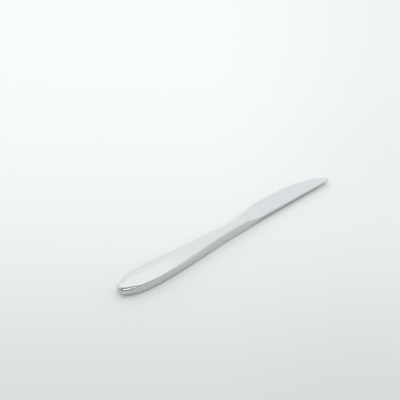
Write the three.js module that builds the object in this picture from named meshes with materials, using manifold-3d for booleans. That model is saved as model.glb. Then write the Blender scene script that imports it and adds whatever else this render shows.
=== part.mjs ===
// A plain polished table knife with a hollow handle, lying on its side.
// Sizes are in millimetres. X runs from the butt of the handle to the tip of the blade, Y from the spine
// to the cutting edge, and Z up from the surface that the knife lies on.
import * as THREE from 'three';
import { mergeVertices } from 'three/addons/utils/BufferGeometryUtils.js';
import Module from 'manifold-3d';

const wasm = await Module();
wasm.setup();

// Outline of the handle
const HANDLE_LENGTH = 104; // from the butt to the mouth that the bolster closes
const HANDLE_WIDTH = 16.4;
const BUTT_LENGTH = 26; // from the end of the butt to the widest place
const BUTT_FULLNESS = 2.35; // power of the butt's curve, where 2 is an ellipse and more is squarer
const BUTT_OFFSET = 0.45; // how far the butt is set over to the edge side
const BUTT_HOOK = 0.7; // how much further the very end turns that way
const HANDLE_BOW = 0.3; // how far the middle of the handle arches to the spine side
const MOUTH_WIDTH = 8.4;

// Section of the handle
const BUTT_THICKNESS = 7.6;
const MOUTH_THICKNESS = 8;
const FLAT_STRIP_WIDTH = 4; // along the middle of each face, where the knife lies
const BROAD_SLOPE = 20; // degrees that a face leans beside its rounded edge, where the handle is broad
const MOUTH_SLOPE = 1.5; // the same at the mouth
const BUTT_THINNING = 0.6; // how much thinner the very end of the butt is
const THINNING_LENGTH = 11;
const BUTT_EDGE_RADIUS = 2.6;
const CRISP_EDGE_RADIUS = 0.6; // along the broad part
const SOFT_EDGE_RADIUS = 1.8; // along the waist, where the fingers lie
const MOUTH_EDGE_RADIUS = 0.9;
const ROUND_END = 5; // these places count from the butt
const CRISP_START = 12;
const CRISP_END = 32;
const SOFT_START = 48;
const SOFT_END = 64;
const NECK_START = 82;
const LEAST_WALL = 0.3; // height that a rounded edge leaves above the seam

// Shells, brazed seam and filler
const SHEET = 0.8;
const INNER_RADIUS = 0.3; // least radius of the bend inside the shells
const SEAM_OPENING = 0.2; // between the rims of the two shells
const RIM_BEVEL = 0.1; // on the outer corner of each rim
const BRAZE_THICKNESS = 0.1;
const BRAZE_RECESS = 0.1; // depth of the braze below the outside of the shells
const FILLER_CLEARANCE = 0.15;

// Bolster, spigot and tang
const MOUTH_JOINT = 0.15; // hairline between the mouth and the bolster
const SPIGOT_LENGTH = 5;
const SPIGOT_CLEARANCE = 0.15;
const SPIGOT_ROOT = 1; // how far the spigot runs on inside the bolster
const TANG_LENGTH = 50;
const TANG_ROOT_WIDTH = 4.6;
const TANG_END_WIDTH = 3.6;
const TANG_THICKNESS = 3;
const NOTCH_COUNT = 2; // on each side of the tang, where the filler keys in
const NOTCH_PITCH = 16;
const NOTCH_LENGTH = 5;
const NOTCH_DEPTH = 0.6;

// Blade, measured along X from the mouth of the handle and along Y from the middle of the mouth
const BLADE_LENGTH = 120.5;
const SHOULDER_START = 5; // where the spine side of the bolster begins to thin
const SHOULDER_LENGTH = 18;
const HEEL_SHOULDER_LENGTH = 24; // over which the edge side of the bolster thins
const HEEL_LENGTH = 44.5; // over which the blade flares to its full depth
const HEEL_POWER = 0.7; // less than 1 flares sooner
const EDGE_OFFSET = 14;
const SPINE_OFFSET = 3.9;
const BELLY_START = 56; // where the cutting edge begins to curve up to the tip
const BELLY_RISE = 13.2;
const BELLY_POWER = 3.2;
const NOSE_LENGTH = 5; // rounded end of the blade
const NOSE_OFFSET = 1.3; // how far the tip lies to the spine side
const TIP_FLAT = 0.4;
const SPINE_THICKNESS = 2.4;
const TIP_THICKNESS = 1.2;
const EDGE_THICKNESS = 0.4;
const SPINE_RADIUS = 0.3;
const EDGE_RADIUS = 0.12;

// Steps of the curves
const OUTSIDE = { butt: 16, taper: 26, edge: 5, face: 3 };
const INSIDE = { butt: 10, taper: 18, edge: 2, face: 2 };
const BLADE = { heel: 26, belly: 16, nose: 7, edge: 5, face: 3 };
const RADIUS_SHARE = 0.8; // most of a face that its rounded edge may take
const CUT_PAST = 2; // how far a cutting solid runs past what it cuts

const { lerp, clamp, degToRad } = THREE.MathUtils;

// A smooth rise from 0 to 1, level at both ends
const ease = (share) => (1 - Math.cos(Math.PI * clamp(share, 0, 1))) / 2;

// Even places from one end of a span up to, but not at, the other
const spaced = (from, to, steps) => Array.from({ length: steps }, (_, i) => lerp(from, to, i / steps));

// Loops, lofts and solids

// A loop around a section that is the same above and below, from its upper half: the spine side and the
// edge side, each from the middle of the side up to the flat of the face
function mirroredLoop(spineSide, edgeSide) {
  const below = (point) => new THREE.Vector3(point.x, point.y, -point.z);
  const lower = [...edgeSide.slice(1), ...spineSide.slice(1).toReversed()];
  return [...spineSide, ...edgeSide.toReversed(), ...lower.map(below)];
}

// A closed solid through loops of equal length. The ends are closed by fans, and a loop that is folded
// flat has none, because its two sides already meet.
function loft(loops, ends = { first: true, last: true }) {
  const size = loops[0].length;
  const points = loops.flat();
  const faces = [];
  for (let i = 0; i + 1 < loops.length; i++) {
    for (let j = 0; j < size; j++) {
      const near = i * size + j;
      const next = i * size + ((j + 1) % size);
      faces.push([near, near + size, next], [next, near + size, next + size]);
    }
  }
  const fan = (start, flip) => {
    const middle = points.length;
    const loop = points.slice(start, start + size);
    points.push(loop.reduce((sum, point) => sum.add(point), new THREE.Vector3()).divideScalar(size));
    for (let j = 0; j < size; j++) {
      const pair = [start + j, start + ((j + 1) % size)];
      faces.push([middle, ...(flip ? pair.reverse() : pair)]);
    }
  };
  const lastStart = points.length - size;
  if (ends.first) fan(0, false);
  if (ends.last) fan(lastStart, true);
  const geometry = new THREE.BufferGeometry().setFromPoints(points);
  geometry.setIndex(faces.flat());
  return solid(geometry);
}

function solid(geometry) {
  const bare = geometry.clone();
  bare.deleteAttribute('normal');
  bare.deleteAttribute('uv');
  const welded = mergeVertices(bare);
  const corners = Array.from(welded.index.array);
  const kept = [];
  for (let i = 0; i < corners.length; i += 3) {
    const [a, b, c] = corners.slice(i, i + 3);
    if (a !== b && b !== c && c !== a) kept.push(a, b, c);
  }
  const vertProperties = welded.attributes.position.array;
  return new wasm.Manifold(new wasm.Mesh({ numProp: 3, vertProperties, triVerts: new Uint32Array(kept) }));
}

function piece(name, body, material) {
  const { vertProperties, triVerts } = body.getMesh();
  const geometry = new THREE.BufferGeometry();
  geometry.setAttribute('position', new THREE.BufferAttribute(vertProperties, 3));
  geometry.setIndex(new THREE.BufferAttribute(triVerts, 1));
  geometry.computeVertexNormals();
  const mesh = new THREE.Mesh(geometry, material);
  mesh.name = name;
  return mesh;
}

// The rounded edge and crowned face of a quarter section, as how far each point lies in from the side and
// how far it lies below the flat of the face. The face leans by the slope where it meets the edge.
function edgeProfile(radius, slope, reach, steps) {
  const turn = Math.PI / 2 - slope;
  const start = radius * (1 - Math.cos(turn));
  const crown = (Math.tan(slope) * (reach - start)) / 2;
  const rounded = Array.from({ length: steps.edge + 1 }, (_, i) => {
    const angle = (i / steps.edge) * turn;
    return { into: radius * (1 - Math.cos(angle)), drop: crown + radius * (Math.sin(turn) - Math.sin(angle)) };
  });
  const face = Array.from({ length: steps.face }, (_, i) => {
    const share = (i + 1) / steps.face;
    return { into: lerp(start, reach, share), drop: crown * (1 - share) ** 2 };
  });
  return [...rounded, ...face];
}

// Handle

function thicknessAt(x) {
  const thinning = BUTT_THINNING * (1 - ease(x / THINNING_LENGTH));
  return lerp(BUTT_THICKNESS, MOUTH_THICKNESS, x / HANDLE_LENGTH) - thinning;
}

const taperAt = (x) => ease((x - BUTT_LENGTH) / (HANDLE_LENGTH - BUTT_LENGTH));

const halfWidthAt = (x) => lerp(HANDLE_WIDTH, MOUTH_WIDTH, taperAt(x)) / 2;

// The line along the middle of the handle, which ends in the middle of the mouth
function middleAt(x) {
  const share = x / HANDLE_LENGTH;
  const hook = BUTT_HOOK * Math.max(1 - x / BUTT_LENGTH, 0) ** 2;
  return hook + BUTT_OFFSET * (1 - ease(share)) - HANDLE_BOW * Math.sin(Math.PI * share) ** 2;
}

function edgeRadiusAt(x) {
  const crisp = ease((x - ROUND_END) / (CRISP_START - ROUND_END));
  const broad = lerp(BUTT_EDGE_RADIUS, CRISP_EDGE_RADIUS, crisp);
  const waist = lerp(broad, SOFT_EDGE_RADIUS, ease((x - CRISP_END) / (SOFT_START - CRISP_END)));
  return lerp(waist, MOUTH_EDGE_RADIUS, ease((x - SOFT_END) / (NECK_START - SOFT_END)));
}

// The largest rounded edge that fits a half section of this height and leaves the least wall
function edgeRadiusLimit(height, slope, reach) {
  const turn = Math.PI / 2 - slope;
  const taken = Math.sin(turn) - (Math.tan(slope) * (1 - Math.cos(turn))) / 2;
  return (height - LEAST_WALL - (Math.tan(slope) * reach) / 2) / taken;
}

// A place on the handle's plan outline, moved in from the side, with y counted from the middle. The way
// along the outline runs from 0 at the middle of the butt to 1 at the widest place, and on to 2 at the end.
function outlineAt(way, end, inset) {
  if (way <= 1) {
    const angle = (way * Math.PI) / 2;
    const power = 2 / BUTT_FULLNESS;
    return {
      x: BUTT_LENGTH - (BUTT_LENGTH - inset) * Math.cos(angle) ** power,
      y: (HANDLE_WIDTH / 2 - inset) * Math.sin(angle) ** power,
    };
  }
  const x = lerp(BUTT_LENGTH, end, way - 1);
  return { x, y: halfWidthAt(x) - inset };
}

// One loop around the handle at a place along its outline, moved in from the outside all round
function handleLoop(way, end, inset, bevel, steps) {
  const station = way <= 1 ? BUTT_LENGTH : lerp(BUTT_LENGTH, end, way - 1);
  const slope = degToRad(lerp(BROAD_SLOPE, MOUTH_SLOPE, taperAt(station)));
  const reach = halfWidthAt(station) - inset - FLAT_STRIP_WIDTH / 2;
  const height = thicknessAt(outlineAt(way, end, inset).x) / 2 - inset;
  const outer = edgeRadiusAt(outlineAt(way, end, 0).x);
  const limit = Math.min(RADIUS_SHARE * reach, edgeRadiusLimit(height, slope, reach));
  const radius = Math.min(Math.max(outer - inset, INNER_RADIUS), limit);
  const profile = edgeProfile(radius, slope, reach, steps);
  const side = (sign) => {
    const at = (into, height) => {
      const { x, y } = outlineAt(way, end, inset + into);
      return new THREE.Vector3(x, middleAt(x) + sign * y, height(x));
    };
    const rim = [at(bevel, () => 0)];
    if (bevel > 0) rim.push(at(0, () => SEAM_OPENING / 2 + bevel));
    const walls = profile.map(({ into, drop }) => at(into, (x) => thicknessAt(x) / 2 - inset - drop));
    return [...rim, ...walls];
  };
  return mirroredLoop(side(-1), side(1));
}

// The handle's full form, moved in from the outside all round and cut off square at its end
function handleForm(inset, end, steps, bevel = 0) {
  const ways = [...spaced(0, 1, steps.butt), ...spaced(1, 2, steps.taper), 2];
  const loops = ways.map((way) => handleLoop(way, end, inset, bevel, steps));
  return loft(loops, { first: false, last: true });
}

function block(low, high) {
  const size = new THREE.Vector3().subVectors(high, low);
  const middle = new THREE.Vector3().addVectors(low, high).divideScalar(2);
  return solid(new THREE.BoxGeometry(size.x, size.y, size.z).translate(middle.x, middle.y, middle.z));
}

// A level layer of space that takes in the whole handle
const layer = (bottom, top) => block(
  new THREE.Vector3(-CUT_PAST, -HANDLE_WIDTH, bottom),
  new THREE.Vector3(HANDLE_LENGTH + CUT_PAST, HANDLE_WIDTH, top),
);

const cavity = () => handleForm(SHEET, HANDLE_LENGTH + CUT_PAST, INSIDE);

function handleShells() {
  const skin = handleForm(0, HANDLE_LENGTH, OUTSIDE, RIM_BEVEL).subtract(cavity());
  const rim = SEAM_OPENING / 2;
  return {
    upper: skin.intersect(layer(rim, MOUTH_THICKNESS + BUTT_THICKNESS)),
    lower: skin.intersect(layer(-MOUTH_THICKNESS - BUTT_THICKNESS, -rim)),
  };
}

function brazedSeam() {
  const ring = handleForm(BRAZE_RECESS, HANDLE_LENGTH, INSIDE).subtract(cavity());
  return ring.intersect(layer(-BRAZE_THICKNESS / 2, BRAZE_THICKNESS / 2));
}

// The tang with its notches, grown all round
function tang(grow) {
  const shoulder = HANDLE_LENGTH - SPIGOT_LENGTH;
  const end = shoulder - TANG_LENGTH;
  const halfAt = (x) => lerp(TANG_END_WIDTH, TANG_ROOT_WIDTH, (x - end) / TANG_LENGTH) / 2 + grow;
  const side = [[end - grow, halfAt(end)]];
  for (let i = 0; i < NOTCH_COUNT; i++) {
    const middle = end + NOTCH_PITCH * (i + 0.5);
    const mouth = NOTCH_LENGTH / 2 - grow;
    const floor = halfAt(middle) - NOTCH_DEPTH;
    side.push([middle - mouth, halfAt(middle - mouth)], [middle - mouth + NOTCH_DEPTH, floor]);
    side.push([middle + mouth - NOTCH_DEPTH, floor], [middle + mouth, halfAt(middle + mouth)]);
  }
  side.push([HANDLE_LENGTH, halfAt(shoulder)]);
  const outline = [...side, ...side.toReversed().map(([x, y]) => [x, -y])];
  const plan = new THREE.Shape(outline.map(([x, y]) => new THREE.Vector2(x, y)));
  const depth = TANG_THICKNESS + 2 * grow;
  return solid(new THREE.ExtrudeGeometry(plan, { depth, bevelEnabled: false }).translate(0, 0, -depth / 2));
}

function handleFiller() {
  const end = HANDLE_LENGTH - SPIGOT_LENGTH - FILLER_CLEARANCE;
  return handleForm(SHEET + FILLER_CLEARANCE, end, INSIDE).subtract(tang(FILLER_CLEARANCE));
}

// Blade

// Rounds both sides of the blade in to the tip
function rounded(y, along) {
  const share = clamp((along - BLADE_LENGTH + NOSE_LENGTH) / NOSE_LENGTH, 0, 1);
  return (y + NOSE_OFFSET) * Math.sqrt(1 - share ** 2) - NOSE_OFFSET;
}

function spineAt(along) {
  const spread = ease(along / (SHOULDER_START + SHOULDER_LENGTH));
  return rounded(-lerp(MOUTH_WIDTH / 2, SPINE_OFFSET, spread), along);
}

function edgeAt(along) {
  const flare = lerp(MOUTH_WIDTH / 2, EDGE_OFFSET, ease(along / HEEL_LENGTH) ** HEEL_POWER);
  const share = clamp((along - BELLY_START) / (BLADE_LENGTH - BELLY_START), 0, 1);
  return rounded(flare - BELLY_RISE * share ** BELLY_POWER, along);
}

// One loop around the bolster and blade. At the mouth it is the handle's own section, which thins into
// the wedge of the blade, sooner on the edge side than on the spine side.
function bladeLoop(along) {
  const x = HANDLE_LENGTH + along;
  const spine = spineAt(along);
  const edge = edgeAt(along);
  const thinned = ease((along - SHOULDER_START) / SHOULDER_LENGTH);
  const heelThinned = ease(along / HEEL_SHOULDER_LENGTH);
  const bladeThickness = lerp(SPINE_THICKNESS, TIP_THICKNESS, along / BLADE_LENGTH);
  const spineHalf = lerp(thicknessAt(x), bladeThickness, thinned) / 2;
  const edgeHalf = lerp(thicknessAt(x), EDGE_THICKNESS, heelThinned) / 2;
  const faceAt = (y) => lerp(spineHalf, edgeHalf, (y - spine) / (edge - spine));
  const mouthReach = (MOUTH_WIDTH - FLAT_STRIP_WIDTH) / 2;
  const reach = lerp(mouthReach, (edge - spine) / 3, thinned);
  const slope = degToRad(MOUTH_SLOPE) * (1 - thinned);
  const side = (start, inward, half, radius) => {
    const limited = Math.min(radius, RADIUS_SHARE * half, RADIUS_SHARE * reach);
    const walls = edgeProfile(limited, slope, reach, BLADE).map(({ into, drop }) => {
      const y = start + inward * into;
      return new THREE.Vector3(x, y, faceAt(y) - drop);
    });
    return [new THREE.Vector3(x, start, 0), ...walls];
  };
  const spineRadius = lerp(MOUTH_EDGE_RADIUS, SPINE_RADIUS, thinned);
  const edgeRadius = lerp(MOUTH_EDGE_RADIUS, EDGE_RADIUS, heelThinned);
  return mirroredLoop(side(spine, 1, spineHalf, spineRadius), side(edge, -1, edgeHalf, edgeRadius));
}

function bladeForm() {
  const noseStart = BLADE_LENGTH - NOSE_LENGTH;
  const noseWidth = edgeAt(noseStart) - spineAt(noseStart);
  const lastAngle = Math.acos(TIP_FLAT / noseWidth);
  const noseTurns = [...spaced(0, lastAngle, BLADE.nose), lastAngle];
  const places = [
    ...spaced(MOUTH_JOINT, HEEL_LENGTH, BLADE.heel),
    ...spaced(HEEL_LENGTH, noseStart, BLADE.belly),
    ...noseTurns.map((angle) => noseStart + NOSE_LENGTH * Math.sin(angle)),
  ];
  return loft(places.map(bladeLoop));
}

// A straight plug that enters the mouth, so it has the mouth's own section
function spigot() {
  const inset = SHEET + SPIGOT_CLEARANCE;
  const section = handleLoop(2, HANDLE_LENGTH, inset, 0, INSIDE);
  const movedTo = (x) => section.map((point) => new THREE.Vector3(x, point.y, point.z));
  return loft([movedTo(HANDLE_LENGTH - SPIGOT_LENGTH), movedTo(HANDLE_LENGTH + MOUTH_JOINT + SPIGOT_ROOT)]);
}

const forgedBlade = () => bladeForm().add(spigot()).add(tang(0));

// Materials and assembly

const polishedSteel = new THREE.MeshStandardMaterial({ color: 0xdadbd9, roughness: 0.22, metalness: 1 });
const bladeSteel = new THREE.MeshStandardMaterial({ color: 0xcfd2d4, roughness: 0.28, metalness: 1 });
const braze = new THREE.MeshStandardMaterial({ color: 0x8d8778, roughness: 0.5, metalness: 1 });
const cement = new THREE.MeshStandardMaterial({ color: 0xb4ada0, roughness: 0.95, metalness: 0 });

const shells = handleShells();
const knife = new THREE.Group();
knife.add(
  piece('blade', forgedBlade(), bladeSteel),
  piece('upper_handle_shell', shells.upper, polishedSteel),
  piece('lower_handle_shell', shells.lower, polishedSteel),
  piece('brazed_seam', brazedSeam(), braze),
  piece('handle_filler', handleFiller(), cement),
);

// The handle thickens towards its mouth, so it lies tilted by the slope of its lower face. The origin is
// the middle of the flat strip that it lies on.
const restX = HANDLE_LENGTH / 2;
const restPoint = new THREE.Vector3(restX, middleAt(restX), -thicknessAt(restX) / 2);
knife.rotation.y = -Math.atan((MOUTH_THICKNESS - BUTT_THICKNESS) / 2 / HANDLE_LENGTH);
knife.position.copy(restPoint.applyEuler(knife.rotation).negate());

export default knife;
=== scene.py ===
import math

import bmesh
import bpy
import numpy as np
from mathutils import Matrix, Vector


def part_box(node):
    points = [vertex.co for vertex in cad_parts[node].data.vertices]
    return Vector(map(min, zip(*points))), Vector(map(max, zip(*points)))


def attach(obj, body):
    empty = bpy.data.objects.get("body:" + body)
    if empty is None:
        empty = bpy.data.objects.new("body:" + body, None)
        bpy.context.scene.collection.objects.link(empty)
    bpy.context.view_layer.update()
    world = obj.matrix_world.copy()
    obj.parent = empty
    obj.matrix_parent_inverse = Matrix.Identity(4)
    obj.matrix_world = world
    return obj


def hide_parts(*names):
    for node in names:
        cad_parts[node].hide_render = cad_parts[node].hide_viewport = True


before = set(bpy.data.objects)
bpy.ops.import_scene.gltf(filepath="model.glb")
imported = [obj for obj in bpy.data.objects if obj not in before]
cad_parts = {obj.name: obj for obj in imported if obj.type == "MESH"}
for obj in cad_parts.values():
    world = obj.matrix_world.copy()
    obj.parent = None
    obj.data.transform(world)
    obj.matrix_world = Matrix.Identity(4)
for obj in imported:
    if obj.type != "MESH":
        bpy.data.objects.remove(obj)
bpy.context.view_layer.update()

# Sizes are in metres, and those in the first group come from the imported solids.
MM = 0.001
shell_low, shell_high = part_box("upper_handle_shell")
blade_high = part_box("blade")[1]

HANDLE_LENGTH = shell_high.x - shell_low.x
BLADE_LENGTH = blade_high.x - shell_high.x

# Outside of the handle
HANDLE_WIDTH = 16.4 * MM
BUTT_LENGTH = HANDLE_LENGTH / 4
MOUTH_WIDTH = 8.4 * MM
HANDLE_BOW = 0.3 * MM
BUTT_OFFSET = 0.45 * MM
BUTT_HOOK = 0.7 * MM
BUTT_FULLNESS = 2.35
BUTT_THICKNESS = 7.6 * MM
MOUTH_THICKNESS = 8 * MM
BUTT_THINNING = 0.6 * MM
THINNING_LENGTH = 11 * MM
BUTT_EDGE_RADIUS = 2.6 * MM
CRISP_EDGE_RADIUS = 0.6 * MM
SOFT_EDGE_RADIUS = 1.8 * MM
MOUTH_EDGE_RADIUS = 1.4 * MM
ROUND_END = 5 * MM
CRISP_START = 12 * MM
CRISP_END = 32 * MM
SOFT_START = 48 * MM
SOFT_END = 64 * MM
NECK_START = 82 * MM
LEAST_WALL = 0.3 * MM
BROAD_SLOPE = math.radians(20)
MOUTH_SLOPE = math.radians(1.5)
FLAT_STRIP_WIDTH = 4 * MM

# Shells and seam
SHEET = 0.8 * MM
INNER_RADIUS = 0.3 * MM
SEAM_OPENING = 0.08 * MM
RIM_BEVEL = 0.02 * MM
BRAZE_THICKNESS = 0.06 * MM
BRAZE_RECESS = 0.02 * MM

# Spigot and tang
MOUTH_JOINT = 0.02 * MM
SPIGOT_LENGTH = 5 * MM
SPIGOT_CLEARANCE = 0.15 * MM
TANG_LENGTH = 50 * MM
TANG_ROOT_WIDTH = 4.6 * MM
TANG_END_WIDTH = 3.6 * MM
TANG_THICKNESS = 3 * MM
NOTCH_COUNT = 2
NOTCH_PITCH = 16 * MM
NOTCH_LENGTH = 5 * MM
NOTCH_DEPTH = 0.6 * MM

# Blade, measured along X from the mouth of the handle and along Y from the handle's axis
SHOULDER_START = 5 * MM
SHOULDER_LENGTH = 18 * MM
HEEL_SHOULDER_LENGTH = 24 * MM
HEEL_LENGTH = 44.5 * MM
HEEL_POWER = 0.7
EDGE_OFFSET = 14 * MM
SPINE_OFFSET = 3.9 * MM
BELLY_START = 56 * MM
BELLY_RISE = 13.2 * MM
BELLY_POWER = 3.2
NOSE_LENGTH = 5 * MM
NOSE_OFFSET = 1.3 * MM
TIP_FLAT = 0.4 * MM
SPINE_THICKNESS = 2.4 * MM
TIP_THICKNESS = 1.2 * MM
EDGE_THICKNESS = 0.4 * MM
SPINE_RADIUS = 0.3 * MM
EDGE_RADIUS = 0.12 * MM

# Steps of the curves
BUTT_STEPS = 48
TAPER_STEPS = 72
HEEL_STEPS = 90
BELLY_STEPS = 60
NOSE_STEPS = 24
WALL_STEPS = 3
ARC_STEPS = 12
FACE_STEPS = 8
RADIUS_SHARE = 0.8
SHARP_ANGLE = math.radians(40)
TOGETHER = 0.001 * MM

# The photograph's camera, by the focal length and the slope that its outline gives
FRAME_PIXELS = 400
FOCAL_PIXELS = 460
SENSOR = 36
CLIP_START = 5 * MM
CLIP_END = 50
EYE = Vector((-168.3, -186.065, 179.36)) * MM
LOOK = Vector((0.6188, 0.6299, -0.4695))

# The handle thickens towards its mouth, so the knife lies tilted by the slope of its lower face.
TILT = math.atan((MOUTH_THICKNESS - BUTT_THICKNESS) / 2 / HANDLE_LENGTH)
REST_X = HANDLE_LENGTH / 2


def lerp(low, high, share):
    return low + (high - low) * share


def ease(share):
    """A smooth rise from 0 to 1, level at both ends."""
    return (1 - math.cos(math.pi * min(max(share, 0), 1))) / 2


# Meshes

def in_frame(points):
    """Points of the level knife, whose X starts at the butt, as they lie in the frame."""
    moved = np.array(points) - (REST_X, middle_at(REST_X), -thickness_at(REST_X) / 2)
    x, y, z = moved.T
    return np.stack([
        x * math.cos(TILT) - z * math.sin(TILT),
        y,
        x * math.sin(TILT) + z * math.cos(TILT),
    ], axis=1)


def grid_faces(rows, columns, start=0, closed=False):
    """Quads over a grid of points that is stored row by row."""
    faces = []
    for row in range(rows - 1):
        for column in range(columns if closed else columns - 1):
            near = start + row * columns + column
            beside = start + row * columns + (column + 1) % columns
            faces.append((near, near + columns, beside + columns, beside))
    return faces


def make_piece(name, points, faces, material):
    """A smooth mesh object in the frame. Points that lie together are joined, and faces turned outwards."""
    mesh = bpy.data.meshes.new(name)
    mesh.from_pydata(in_frame(points).tolist(), [], faces)
    cleaner = bmesh.new()
    cleaner.from_mesh(mesh)
    bmesh.ops.remove_doubles(cleaner, verts=cleaner.verts, dist=TOGETHER)
    bmesh.ops.recalc_face_normals(cleaner, faces=cleaner.faces)
    cleaner.to_mesh(mesh)
    cleaner.free()
    obj = bpy.data.objects.new(name, mesh)
    bpy.context.scene.collection.objects.link(obj)
    mesh.shade_smooth()
    mesh.set_sharp_from_angle(angle=SHARP_ANGLE)
    mesh.materials.append(material)
    return obj


def edge_profile(radius, slope, reach):
    """How far each point of a rounded edge and its crowned face lies in from the side, and below the flat
    strip."""
    turn = math.pi / 2 - slope
    start = radius * (1 - math.cos(turn))
    crown = math.tan(slope) * (reach - start) / 2
    angles = np.linspace(0, turn, ARC_STEPS + 1)
    shares = np.linspace(0, 1, FACE_STEPS + 1)[1:]
    into = [*(radius * (1 - np.cos(angles))), *lerp(start, reach, shares)]
    drop = [*(crown + radius * (math.sin(turn) - np.sin(angles))), *(crown * (1 - shares) ** 2)]
    return list(zip(into, drop))


# Handle

def thickness_at(x):
    thinning = BUTT_THINNING * (1 - ease(x / THINNING_LENGTH))
    return lerp(BUTT_THICKNESS, MOUTH_THICKNESS, x / HANDLE_LENGTH) - thinning


def taper_at(x):
    return ease((x - BUTT_LENGTH) / (HANDLE_LENGTH - BUTT_LENGTH))


def half_width_at(x):
    return lerp(HANDLE_WIDTH, MOUTH_WIDTH, taper_at(x)) / 2


def middle_at(x):
    share = x / HANDLE_LENGTH
    hook = BUTT_HOOK * max(1 - x / BUTT_LENGTH, 0) ** 2
    return hook + BUTT_OFFSET * (1 - ease(share)) - HANDLE_BOW * math.sin(math.pi * share) ** 2


def edge_radius_at(x):
    """Round at the butt, crisp where the handle is broad, soft along the neck, a little less so at the
    mouth."""
    radius = lerp(BUTT_EDGE_RADIUS, CRISP_EDGE_RADIUS, ease((x - ROUND_END) / (CRISP_START - ROUND_END)))
    radius = lerp(radius, SOFT_EDGE_RADIUS, ease((x - CRISP_END) / (SOFT_START - CRISP_END)))
    return lerp(radius, MOUTH_EDGE_RADIUS, ease((x - SOFT_END) / (NECK_START - SOFT_END)))


def edge_radius_limit(height, slope, reach):
    """The largest rounded edge that fits a half section of this height and leaves the least wall."""
    turn = math.pi / 2 - slope
    taken = math.sin(turn) - math.tan(slope) * (1 - math.cos(turn)) / 2
    return (height - LEAST_WALL - math.tan(slope) * reach / 2) / taken


def outline_at(way, inset):
    """A place on the handle's outline, moved in from the side, with y counted from the middle. The way runs
    from 0 at the middle of the butt to 1 at the widest place, and on to 2 at the mouth."""
    if way <= 1:
        angle = way * math.pi / 2
        power = 2 / BUTT_FULLNESS
        x = BUTT_LENGTH - (BUTT_LENGTH - inset) * max(math.cos(angle), 0) ** power
        return x, (HANDLE_WIDTH / 2 - inset) * math.sin(angle) ** power
    x = lerp(BUTT_LENGTH, HANDLE_LENGTH, way - 1)
    return x, half_width_at(x) - inset


def outline_ways():
    return [*np.linspace(0, 1, BUTT_STEPS + 1), *np.linspace(1, 2, TAPER_STEPS + 1)[1:]]


def half_section(way, inset, bevel):
    """The upper half of a section of the handle, from the spine side's rim over the face to the other
    rim."""
    station = lerp(BUTT_LENGTH, HANDLE_LENGTH, max(way - 1, 0))
    slope = lerp(BROAD_SLOPE, MOUTH_SLOPE, taper_at(station))
    reach = half_width_at(station) - inset - FLAT_STRIP_WIDTH / 2
    height = thickness_at(outline_at(way, inset)[0]) / 2 - inset
    outer = edge_radius_at(outline_at(way, 0)[0])
    limit = min(RADIUS_SHARE * reach, edge_radius_limit(height, slope, reach))
    radius = min(max(outer - inset, INNER_RADIUS), limit)
    profile = edge_profile(radius, slope, reach)

    def side(sign):
        def place(into, z):
            x, y = outline_at(way, inset + into)
            return x, middle_at(x) + sign * y, z

        def on_face(into, drop):
            x = outline_at(way, inset + into)[0]
            return place(into, thickness_at(x) / 2 - inset - drop)

        face = [on_face(into, drop) for into, drop in profile]
        wall_top = face[0][2]
        foot = SEAM_OPENING / 2 + bevel
        wall = [place(0, lerp(foot, wall_top, step / WALL_STEPS)) for step in range(WALL_STEPS)]
        return [place(bevel, SEAM_OPENING / 2), *wall, *face]

    return side(-1) + side(1)[::-1]


def half_shell(name, up, material):
    """One of the two stamped half shells, with its sheet's real thickness. Up is 1 or -1."""
    ways = outline_ways()
    skins = [
        [half_section(way, inset, bevel) for way in ways]
        for inset, bevel in ((0, RIM_BEVEL), (SHEET, 0))
    ]
    rows, columns = len(ways), len(skins[0][0])
    points = [point for skin in skins for section in skin for point in section]
    inner = rows * columns
    faces = grid_faces(rows, columns) + grid_faces(rows, columns, inner)
    for column in (0, columns - 1):
        for row in range(rows - 1):
            near = row * columns + column
            faces.append((near, near + columns, inner + near + columns, inner + near))
    for column in range(columns - 1):
        near = (rows - 1) * columns + column
        faces.append((near, near + 1, inner + near + 1, inner + near))
    return make_piece(name, np.array(points) * (1, 1, up), faces, material)


def brazed_seam(name, material):
    """The strip of braze between the rims, from one side of the mouth round the butt to the other."""
    half = BRAZE_THICKNESS / 2
    corners = [(BRAZE_RECESS, -half), (BRAZE_RECESS, half), (SHEET, half), (SHEET, -half)]
    ways = outline_ways()
    path = [(way, -1) for way in ways[::-1]] + [(way, 1) for way in ways[1:]]
    points = []
    for way, sign in path:
        for inset, z in corners:
            x, y = outline_at(way, inset)
            points.append((x, middle_at(x) + sign * y, z))
    last = len(points) - len(corners)
    faces = grid_faces(len(path), len(corners), closed=True)
    faces += [tuple(range(len(corners))), tuple(range(last, len(points)))]
    return make_piece(name, points, faces, material)


# Blade

def rounded(y, along):
    """Rounds both sides of the blade in to the tip."""
    share = min(max((along - BLADE_LENGTH + NOSE_LENGTH) / NOSE_LENGTH, 0), 1)
    return (y + NOSE_OFFSET) * math.sqrt(1 - share ** 2) - NOSE_OFFSET


def spine_at(along):
    spread = ease(along / (SHOULDER_START + SHOULDER_LENGTH))
    return rounded(-lerp(MOUTH_WIDTH / 2, SPINE_OFFSET, spread), along)


def edge_at(along):
    flare = lerp(MOUTH_WIDTH / 2, EDGE_OFFSET, ease(along / HEEL_LENGTH) ** HEEL_POWER)
    share = min(max((along - BELLY_START) / (BLADE_LENGTH - BELLY_START), 0), 1)
    return rounded(flare - BELLY_RISE * share ** BELLY_POWER, along)


def whole_loop(near, far):
    """A loop from the upper halves of its two sides, which both start at half height."""
    below = [(x, y, -z) for x, y, z in far[1:] + near[1:][::-1]]
    return near + far[::-1] + below


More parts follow.
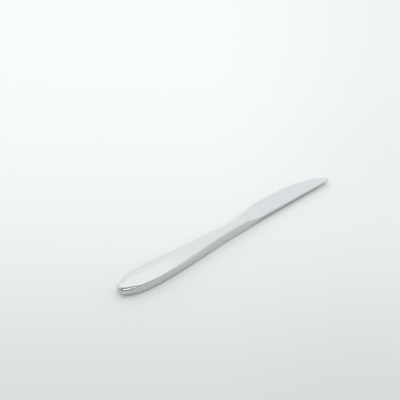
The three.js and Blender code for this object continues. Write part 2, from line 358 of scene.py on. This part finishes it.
def blade_loop(along):
    """One loop around the bolster and blade. At the mouth it is the handle's own section, which thins into
    the wedge of the blade, sooner on the edge side than on the spine side."""
    x = HANDLE_LENGTH + along
    spine, edge = spine_at(along), edge_at(along)
    thinned = ease((along - SHOULDER_START) / SHOULDER_LENGTH)
    heel_thinned = ease(along / HEEL_SHOULDER_LENGTH)
    blade_thickness = lerp(SPINE_THICKNESS, TIP_THICKNESS, along / BLADE_LENGTH)
    spine_half = lerp(thickness_at(x), blade_thickness, thinned) / 2
    edge_half = lerp(thickness_at(x), EDGE_THICKNESS, heel_thinned) / 2
    reach = lerp((MOUTH_WIDTH - FLAT_STRIP_WIDTH) / 2, (edge - spine) / 3, thinned)
    slope = MOUTH_SLOPE * (1 - thinned)

    def side(start, inward, half, radius):
        limited = min(radius, RADIUS_SHARE * half, RADIUS_SHARE * reach)
        upper = []
        for into, drop in edge_profile(limited, slope, reach):
            y = start + inward * into
            upper.append((x, y, lerp(spine_half, edge_half, (y - spine) / (edge - spine)) - drop))
        wall = [(x, start, upper[0][2] * step / WALL_STEPS) for step in range(WALL_STEPS)]
        return wall + upper

    near = side(spine, 1, spine_half, lerp(MOUTH_EDGE_RADIUS, SPINE_RADIUS, thinned))
    far = side(edge, -1, edge_half, lerp(MOUTH_EDGE_RADIUS, EDGE_RADIUS, heel_thinned))
    return whole_loop(near, far)


def blade_places():
    nose_start = BLADE_LENGTH - NOSE_LENGTH
    nose_width = edge_at(nose_start) - spine_at(nose_start)
    turns = np.linspace(0, math.acos(TIP_FLAT / nose_width), NOSE_STEPS + 1)
    return [
        *np.linspace(MOUTH_JOINT, HEEL_LENGTH, HEEL_STEPS, endpoint=False),
        *np.linspace(HEEL_LENGTH, nose_start, BELLY_STEPS, endpoint=False),
        *(nose_start + NOSE_LENGTH * np.sin(turns)),
    ]


def tang_outline():
    """Places along the tang with its half width there, past the notches that the filler keys into."""
    shoulder = HANDLE_LENGTH - SPIGOT_LENGTH
    end = shoulder - TANG_LENGTH

    def half_at(x):
        return lerp(TANG_END_WIDTH, TANG_ROOT_WIDTH, (x - end) / TANG_LENGTH) / 2

    places = [(end, half_at(end))]
    for notch in range(NOTCH_COUNT):
        middle = end + NOTCH_PITCH * (notch + 0.5)
        floor = half_at(middle) - NOTCH_DEPTH
        first, last = middle - NOTCH_LENGTH / 2, middle + NOTCH_LENGTH / 2
        places += [(first, half_at(first)), (first + NOTCH_DEPTH, floor)]
        places += [(last - NOTCH_DEPTH, floor), (last, half_at(last))]
    return [*places, (shoulder, half_at(shoulder))]


def root_loops():
    """Loops around the flat tang and around the spigot that plugs the mouth, from the tang's end on."""
    upper = half_section(2, SHEET + SPIGOT_CLEARANCE, 0)
    middle = len(upper) // 2
    section = np.array(whole_loop(upper[1:middle], upper[middle:-1][::-1]))
    loops = []
    for x, half_width in tang_outline():
        corner = np.array((x, half_width, TANG_THICKNESS / 2))
        loops.append(np.clip(section, corner * (1, -1, -1), corner))
    for x in (HANDLE_LENGTH - SPIGOT_LENGTH, HANDLE_LENGTH + MOUTH_JOINT):
        loops.append(section * (0, 1, 1) + (x, 0, 0))
    return loops


def forged_blade(name, material):
    """One closed surface through the loops of the tang, the spigot, the bolster and the blade."""
    loops = [*root_loops(), *(blade_loop(along) for along in blade_places())]
    size = len(loops[0])
    last = (len(loops) - 1) * size
    faces = grid_faces(len(loops), size, closed=True)
    faces += [tuple(range(size)), tuple(range(last, last + size))]
    return make_piece(name, np.concatenate(loops), faces, material)


# Materials

HANDLE_COLOUR = (0.637, 0.642, 0.625)
BLADE_COLOUR = (0.585, 0.611, 0.602)
HANDLE_ROUGHNESS = 0.09
BLADE_ROUGHNESS = 0.1
HANDLE_GRAIN_TURN = 0.0
BLADE_GRAIN_TURN = math.radians(90)
GRIND_START = HANDLE_LENGTH / 2
GRIND_END = GRIND_START + 40 * MM

# Marks in the steel, by their length, width and turn
GRAIN_SIZE = (12 * MM, 0.12 * MM)
SMEAR = (30 * MM, 9 * MM, math.radians(25))
LONG_SCRATCH = (14 * MM, 0.09 * MM, math.radians(18))
SHORT_SCRATCH = (9 * MM, 0.09 * MM, math.radians(-31))
SCRATCH_LEVEL = (0.7, 0.8)
SMEAR_TINT = (0.96, 1.02)
GRAIN_ROUGHNESS = 0.03
SMEAR_ROUGHNESS = 0.03
SCRATCH_ROUGHNESS = 0.12
MARK_STRENGTH = 0.05
MARK_DEPTH = 0.02 * MM
STREAK_DETAIL = 2.0

# Braze and cement
BRAZE_FLOW = (3 * MM, 0.4 * MM)
BRAZE_DARK = (0.52, 0.51, 0.48, 1)
BRAZE_LIGHT = (0.74, 0.74, 0.72, 1)
BRAZE_ROUGHNESS = (0.25, 0.45)
GRIT_SIZE = 0.5 * MM
GRIT_DETAIL = 6.0
GRIT_STRENGTH = 0.5
GRIT_DEPTH = 0.2 * MM
CEMENT_DARK = (0.30, 0.28, 0.25, 1)
CEMENT_LIGHT = (0.56, 0.53, 0.48, 1)
CEMENT_ROUGHNESS = (0.85, 1.0)

# Places of a mix node's colour sockets
MIX_FIRST = 6
MIX_SECOND = 7
MIX_RESULT = 2


class Nodes:
    """Adds nodes to a tree and links them by name."""

    def __init__(self, tree):
        self.tree = tree
        tree.nodes.clear()

    def add(self, kind, values=None, **settings):
        node = self.tree.nodes.new(kind)
        for name, value in settings.items():
            setattr(node, name, value)
        for socket, value in (values or {}).items():
            if isinstance(value, bpy.types.NodeSocket):
                self.tree.links.new(value, node.inputs[socket])
            else:
                node.inputs[socket].default_value = value
        return node

    def place(self):
        """A point of the piece in the frame."""
        return self.add("ShaderNodeTexCoord").outputs["Object"]

    def math(self, operation, first, second):
        return self.add("ShaderNodeMath", {0: first, 1: second}, operation=operation).outputs[0]

    def vector(self, operation, values):
        return self.add("ShaderNodeVectorMath", values, operation=operation).outputs

    def dot(self, first, second):
        return self.vector("DOT_PRODUCT", {0: first, 1: second})["Value"]

    def scaled(self, colour, scale):
        return self.vector("SCALE", {0: colour, "Scale": scale})[0]

    def rise(self, value, start, full):
        """A smooth step from 0 at the start to 1 at the full value."""
        ends = {"Value": value, "From Min": start, "From Max": full}
        return self.add("ShaderNodeMapRange", ends, interpolation_type="SMOOTHSTEP").outputs[0]

    def mix(self, share, first, second):
        """A colour between two others."""
        node = self.add("ShaderNodeMix", {"Factor": share}, data_type="RGBA")
        node.inputs[MIX_FIRST].default_value = (*first, 1)
        node.inputs[MIX_SECOND].default_value = (*second, 1)
        return node.outputs[MIX_RESULT]

    def ramp(self, share, dark, light):
        """A colour from dark, where the share is 0, to light, where it is 1."""
        node = self.add("ShaderNodeValToRGB", {"Fac": share})
        node.color_ramp.elements[0].color = dark
        node.color_ramp.elements[1].color = light
        return node.outputs[0]

    def blend(self, share, first, second):
        """A value between two others."""
        return self.add("ShaderNodeMix", {"Factor": share, "A": first, "B": second}).outputs[0]

    def spread(self, value, low, high):
        """Moves a value from 0..1 to low..high."""
        return self.add("ShaderNodeMapRange", {"Value": value, "To Min": low, "To Max": high}).outputs[0]

    def streaks(self, along, across, turn=0.0):
        """Noise in long streaks. Along and across are the streaks' length and width in metres."""
        scale = (1 / along, 1 / across, 1 / across)
        turned = self.add("ShaderNodeMapping", {"Vector": self.place(), "Rotation": (0, 0, turn)})
        mapped = self.add("ShaderNodeMapping", {"Vector": turned.outputs[0], "Scale": scale})
        noise = {"Vector": mapped.outputs[0], "Scale": 1.0, "Detail": STREAK_DETAIL}
        return self.add("ShaderNodeTexNoise", noise).outputs["Fac"]

    def bumps(self, height, strength, depth):
        values = {"Height": height, "Strength": strength, "Distance": depth}
        return self.add("ShaderNodeBump", values).outputs[0]

    def surface(self, kind, values):
        """Ends a material's tree in a shader."""
        shader = self.add(kind, values)
        self.add("ShaderNodeOutputMaterial", {"Surface": shader.outputs[0]})


def new_material(name):
    material = bpy.data.materials.new(name)
    material.use_nodes = True
    return material, Nodes(material.node_tree)


def steel(name, roughness, grain_turn, ground_colour=None):
    """Polished steel with a fine grain, hairline scratches and faint smears. Where a colour for the ground
    blade is given, it takes over from the handle's along the bolster and heel."""
    material, nodes = new_material(name)
    grain = nodes.streaks(*GRAIN_SIZE, grain_turn)
    smear = nodes.streaks(*SMEAR)
    scratch = nodes.math("MAXIMUM", nodes.streaks(*LONG_SCRATCH), nodes.streaks(*SHORT_SCRATCH))
    scratches = nodes.rise(scratch, *SCRATCH_LEVEL)
    colour = HANDLE_COLOUR
    if ground_colour:
        ground = nodes.rise(nodes.dot(nodes.place(), (1, 0, 0)), GRIND_START, GRIND_END)
        colour = nodes.mix(ground, HANDLE_COLOUR, ground_colour)
    tint = nodes.scaled(colour, nodes.spread(smear, *SMEAR_TINT))
    rough = nodes.spread(grain, roughness - GRAIN_ROUGHNESS, roughness + GRAIN_ROUGHNESS)
    rough = nodes.math("ADD", rough, nodes.spread(smear, -SMEAR_ROUGHNESS, SMEAR_ROUGHNESS))
    rough = nodes.math("ADD", rough, nodes.math("MULTIPLY", scratches, SCRATCH_ROUGHNESS))
    height = nodes.math("SUBTRACT", grain, scratches)
    nodes.surface("ShaderNodeBsdfPrincipled", {
        "Base Color": tint,
        "Metallic": 1.0,
        "Roughness": rough,
        "Normal": nodes.bumps(height, MARK_STRENGTH, MARK_DEPTH),
    })
    return material


def braze_metal(name):
    material, nodes = new_material(name)
    flow = nodes.streaks(*BRAZE_FLOW)
    nodes.surface("ShaderNodeBsdfPrincipled", {
        "Base Color": nodes.ramp(flow, BRAZE_DARK, BRAZE_LIGHT),
        "Metallic": 1.0,
        "Roughness": nodes.spread(flow, *BRAZE_ROUGHNESS),
    })
    return material


def cast_cement(name):
    material, nodes = new_material(name)
    noise = {"Vector": nodes.place(), "Scale": 1 / GRIT_SIZE, "Detail": GRIT_DETAIL}
    grit = nodes.add("ShaderNodeTexNoise", noise).outputs["Fac"]
    nodes.surface("ShaderNodeBsdfPrincipled", {
        "Base Color": nodes.ramp(grit, CEMENT_DARK, CEMENT_LIGHT),
        "Roughness": nodes.spread(grit, *CEMENT_ROUGHNESS),
        "Normal": nodes.bumps(grit, GRIT_STRENGTH, GRIT_DEPTH),
    })
    return material


def dress_knife():
    handle_steel = steel("handle_steel", HANDLE_ROUGHNESS, HANDLE_GRAIN_TURN)
    blade_steel = steel("blade_steel", BLADE_ROUGHNESS, BLADE_GRAIN_TURN, BLADE_COLOUR)
    braze = braze_metal("braze")
    pieces = (
        (forged_blade("knife_blade", blade_steel), "blade", "blade_steel"),
        (half_shell("handle_upper_shell", 1, handle_steel), "upper_handle_shell", "handle_steel"),
        (half_shell("handle_lower_shell", -1, handle_steel), "lower_handle_shell", "handle_steel"),
        (brazed_seam("handle_seam", braze), "brazed_seam", "braze"),
    )
    for piece, node, slot in pieces:
        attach(piece, "root")
        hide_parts(node)
    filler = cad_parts["handle_filler"]
    filler.data.materials.clear()
    filler.data.materials.append(cast_cement("cement"))


# Stage, light and camera

AHEAD = Vector((LOOK.x, LOOK.y, 0)).normalized()
ASIDE = Vector((AHEAD.y, -AHEAD.x, 0))

# The floor's colour far off, and the shares of it that painted shade takes away in the foreground, where
# the light falls off, and to the right
FLOOR_SIDE = 12.0
FLOOR_COLOUR = (0.98, 1.0, 0.977)
FLOOR_FAR = 0.748
FLOOR_PAINTED_FALLOFF = 0.25
FLOOR_PAINTED_RIGHT_SHADE_NEAR = 0.03
FLOOR_PAINTED_RIGHT_SHADE_FAR = 0.08

# Where the floor's painted shade changes: in the foreground by one over the metres ahead, to the right by
# metres and by slope
FLOOR_NEAREST = 0.12
FLOOR_PAINTED_FALLOFF_ENDS = (0.8, 7.5)
FLOOR_PAINTED_RIGHT_SHADE_ENDS = (0.2, 0.5)
FLOOR_SLOPE_ENDS = (0.0, 0.5)

SUN_STRENGTH = 1.6
SUN_ANGLE = math.radians(60)
SUN_ELEVATION = math.radians(48)

# Strengths of the room, and for its low and right parts the share that is left
SKY_COLOUR = (0.985, 1.0, 1.03, 1)
SKY_FAR = 1.17
SKY_FAR_HIGH = 1.3
SKY_NEAR = 0.965
SKY_LOW = 0.9
SKY_RIGHT = 0.75
SKY_LEFT = 0.5
SKY_DARK = 0.2
SKY_SILL = 0.03
SKY_WINDOW = 1.5
SKY_CARD = 0.2

# Zones of the room: a measure of the direction, where the zone begins and where it is full
NEAR_TO_FAR = (-0.35, 0.95)
FAR_HIGH_ZONE = (("toward", 0.1, 0.7), ("height", 0.555, 0.6), ("along", 0.58, 0.5))
LOW_ZONE = (("toward", -0.04, 0.06), ("height", 0.35, 0.05))
RIGHT_ZONE = (
    ("toward", -0.12, 0.0),
    ("toward", 0.45, 0.2),
    ("height", 0.08, 0.2),
    ("height", 0.56, 0.36),
    ("aside", 0.0, 0.5),
)
LEFT_ZONE = (("toward", 0.15, -0.2), ("aside", -0.7, -0.9), ("height", 0.65, 0.45))
DARK_ZONE = (("aside", -0.9, -0.4),)
SILL_ZONE = (("toward", -0.84, -0.93),)
WINDOW_ZONE = (*SILL_ZONE, ("height", 0.3, 0.38))
ABOVE_WALL_ZONE = (("aside", 0.2, 0.5), ("height", 0.68, 0.78))
WALL_ZONE = (("toward", -0.3, -0.42),)
CARD_ZONE = (("height", 0.78, 0.83), ("ahead", -0.08, -0.15), ("across", 0.3, 0.15))


def floor_material():
    """A pale surface with painted shade: darker in the foreground, where the light falls off, and a little
    darker to the right, most of all far off.
    """
    material, nodes = new_material("pale_surface")
    offset = nodes.vector("SUBTRACT", {0: nodes.place(), 1: (EYE.x, EYE.y, 0)})[0]
    ahead = nodes.math("MAXIMUM", nodes.dot(offset, AHEAD), FLOOR_NEAREST)
    # Painted shade: the floor's colour darkens towards the front, where the light falls off.
    closeness = nodes.rise(nodes.math("DIVIDE", 1.0, ahead), *FLOOR_PAINTED_FALLOFF_ENDS)
    painted_falloff = nodes.blend(closeness, FLOOR_FAR, FLOOR_FAR * (1 - FLOOR_PAINTED_FALLOFF))
    # Painted shade: the floor's colour darkens a little to the right, most of all far off.
    slope = nodes.math("DIVIDE", nodes.dot(offset, ASIDE), ahead)
    right = nodes.blend(nodes.rise(ahead, *FLOOR_PAINTED_RIGHT_SHADE_ENDS), 1 - FLOOR_PAINTED_RIGHT_SHADE_NEAR, 1 - FLOOR_PAINTED_RIGHT_SHADE_FAR)
    painted_right_shade = nodes.blend(nodes.rise(slope, *FLOOR_SLOPE_ENDS), 1.0, right)
    colour = nodes.scaled(FLOOR_COLOUR, nodes.math("MULTIPLY", painted_falloff, painted_right_shade))
    nodes.surface("ShaderNodeBsdfDiffuse", {"Color": colour})
    return material


def make_floor():
    half = FLOOR_SIDE / 2
    mesh = bpy.data.meshes.new("floor")
    corners = [(-half, -half, 0), (half, -half, 0), (half, half, 0), (-half, half, 0)]
    mesh.from_pydata(corners, [], [(0, 1, 2, 3)])
    mesh.materials.append(floor_material())
    floor = bpy.data.objects.new("floor", mesh)
    bpy.context.scene.collection.objects.link(floor)


def make_sky():
    """A pale room, brightest on the far side, and dimmer low down, on the right and at its left end. On the
    near side a bright window stands in a dark wall, between a sill and a dark card overhead."""
    world = bpy.data.worlds.new("room")
    world.use_nodes = True
    bpy.context.scene.world = world
    nodes = Nodes(world.node_tree)
    way = nodes.add("ShaderNodeTexCoord").outputs["Generated"]
    flat = nodes.vector("MULTIPLY", {0: way, 1: (1, 1, 0)})[0]
    level_way = nodes.vector("NORMALIZE", {0: flat})[0]
    measures = {
        "height": nodes.dot(way, (0, 0, 1)),
        "along": nodes.dot(way, (1, 0, 0)),
        "ahead": nodes.dot(way, AHEAD),
        "across": nodes.dot(way, ASIDE),
        "toward": nodes.dot(level_way, AHEAD),
        "aside": nodes.dot(level_way, ASIDE),
    }

    def fill(zone, ground, strength):
        """The ground, with another strength in a zone."""
        share = 1.0
        for measure, start, full in zone:
            share = nodes.math("MULTIPLY", share, nodes.rise(measures[measure], start, full))
        return nodes.blend(share, ground, strength)

    room = nodes.add("ShaderNodeMapRange", {
        "Value": measures["toward"],
        "From Min": NEAR_TO_FAR[0], "From Max": NEAR_TO_FAR[1],
        "To Min": SKY_NEAR, "To Max": SKY_FAR,
    }).outputs[0]
    room = fill(FAR_HIGH_ZONE, room, SKY_FAR_HIGH)
    room = nodes.math("MULTIPLY", room, fill(LOW_ZONE, 1.0, SKY_LOW))
    room = nodes.math("MULTIPLY", room, fill(RIGHT_ZONE, 1.0, SKY_RIGHT))
    room = fill(LEFT_ZONE, room, SKY_LEFT)
    wall = fill(DARK_ZONE, SKY_LEFT, SKY_DARK)
    wall = fill(SILL_ZONE, wall, SKY_SILL)
    wall = fill(WINDOW_ZONE, wall, SKY_WINDOW)
    wall = fill(ABOVE_WALL_ZONE, wall, room)
    room = fill(WALL_ZONE, room, wall)
    room = fill(CARD_ZONE, room, SKY_CARD)
    background = nodes.add("ShaderNodeBackground", {"Color": SKY_COLOUR, "Strength": room})
    nodes.add("ShaderNodeOutputWorld", {"Surface": background.outputs[0]})


def make_sun():
    """A broad soft lamp, high on the camera's side. Metal shows the room in place of the lamp."""
    lamp = bpy.data.lights.new("soft_light", "SUN")
    lamp.energy = SUN_STRENGTH
    lamp.angle = SUN_ANGLE
    sun = bpy.data.objects.new("soft_light", lamp)
    bpy.context.scene.collection.objects.link(sun)
    level = math.cos(SUN_ELEVATION)
    source = Vector((-AHEAD.x * level, -AHEAD.y * level, math.sin(SUN_ELEVATION)))
    sun.rotation_mode = "QUATERNION"
    sun.rotation_quaternion = source.to_track_quat("Z", "Y")
    sun.visible_glossy = False


def make_camera():
    lens = bpy.data.cameras.new("camera")
    lens.sensor_width = SENSOR
    lens.lens = SENSOR * FOCAL_PIXELS / FRAME_PIXELS
    lens.clip_start = CLIP_START
    lens.clip_end = CLIP_END
    camera = bpy.data.objects.new("camera", lens)
    bpy.context.scene.collection.objects.link(camera)
    camera.location = EYE
    camera.rotation_mode = "QUATERNION"
    camera.rotation_quaternion = LOOK.to_track_quat("-Z", "Y")
    bpy.context.scene.camera = camera


dress_knife()
make_floor()
make_sky()
make_sun()
make_camera()
bpy.context.scene.view_settings.view_transform = "Standard"
